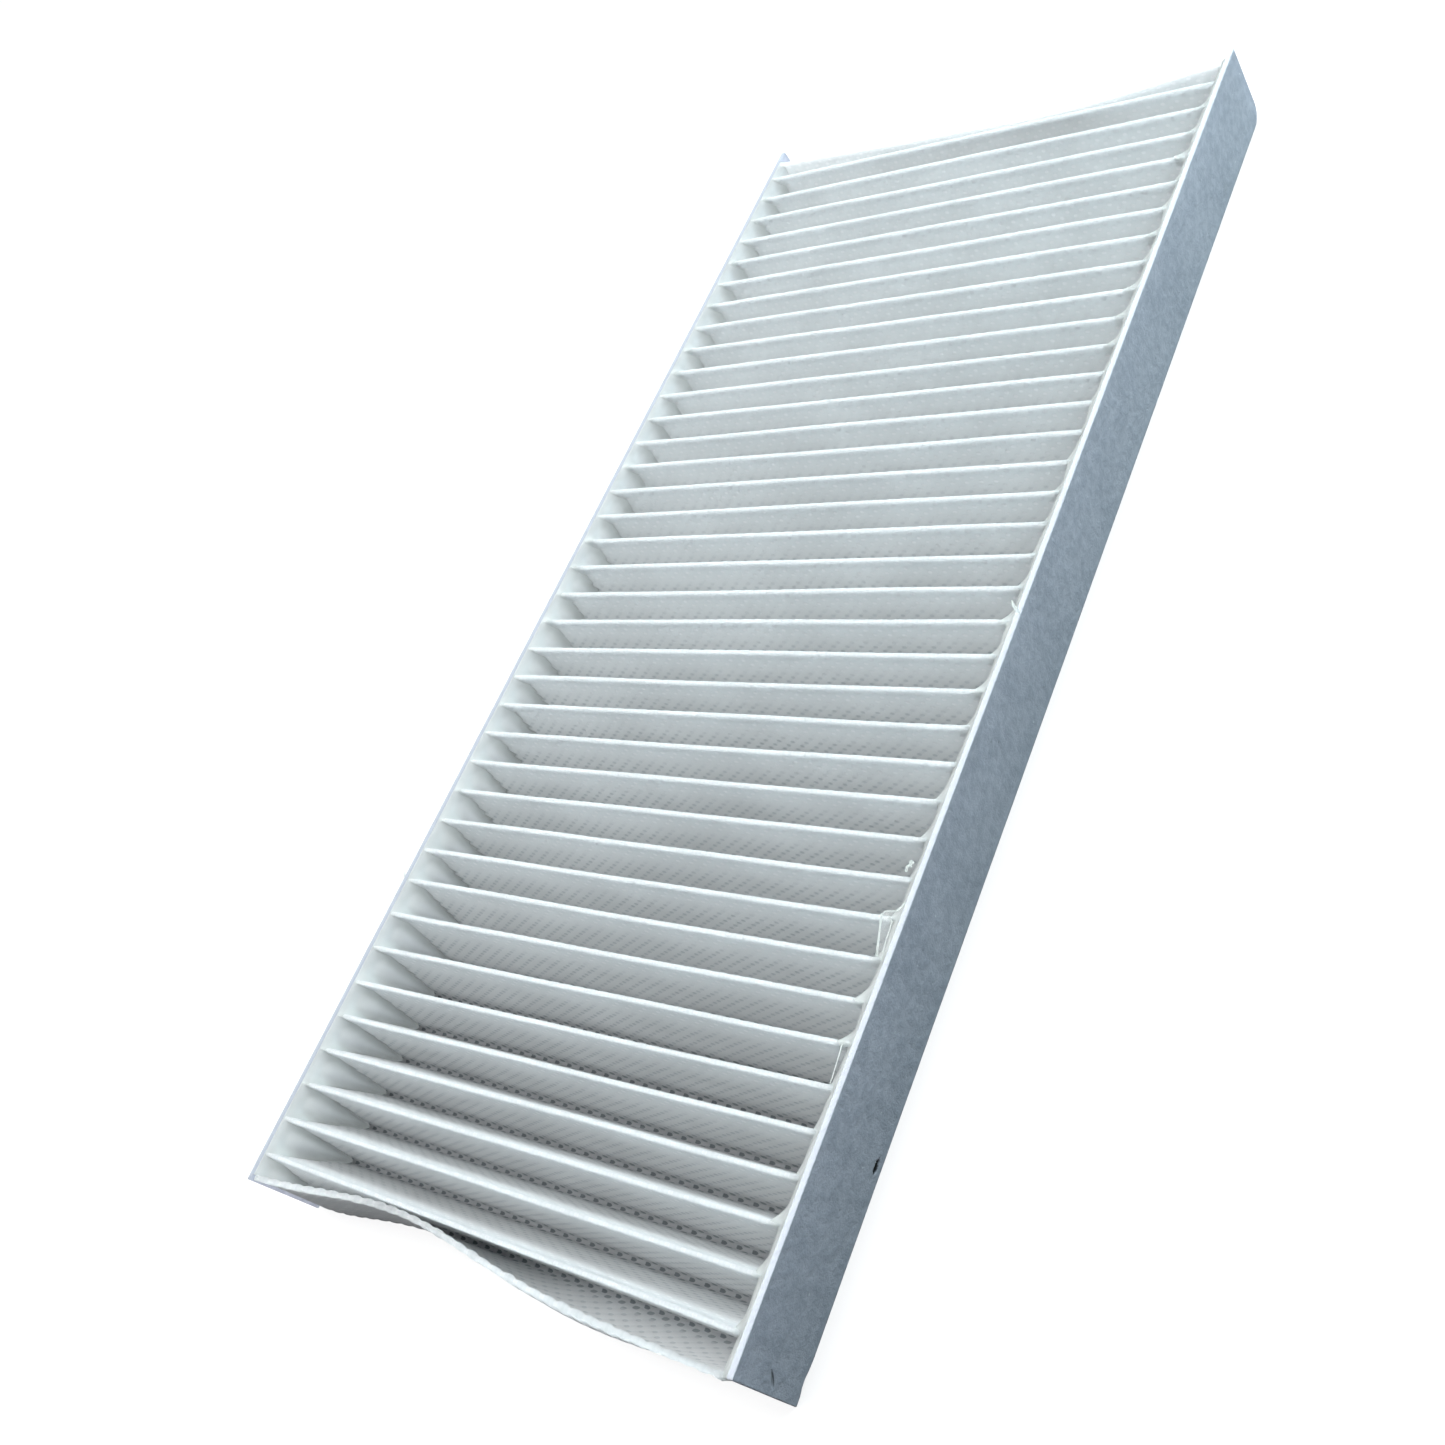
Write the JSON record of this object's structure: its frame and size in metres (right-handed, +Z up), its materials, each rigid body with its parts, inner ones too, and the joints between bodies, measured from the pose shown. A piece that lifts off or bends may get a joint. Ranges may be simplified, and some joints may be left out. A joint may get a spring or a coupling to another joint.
{
  "type": "cabin air filter",
  "caption": "Slim rectangular pleated panel filter: one zigzag-folded fibre sheet held between two glued felt side bands, both ends open.",
  "frame": {"origin": "under the middle of the filter, on the plane it lies on", "axes": "+X across the sheet to the right band, +Y along the bands to the far end, +Z up"},
  "size_m": [0.1388, 0.3095, 0.0195],
  "materials": {
    "media": "matt white point-embossed nonwoven",
    "band": "matt pale grey-blue pressed felt",
    "glue": "clear-white hot-melt glue, slightly glossy"
  },
  "bodies": {
    "root": {"pleated_media": "media", "side_band_right": "band", "side_band_left": "band", "glue_right": "glue", "glue_left": "glue"}
  },
  "joints": []
}
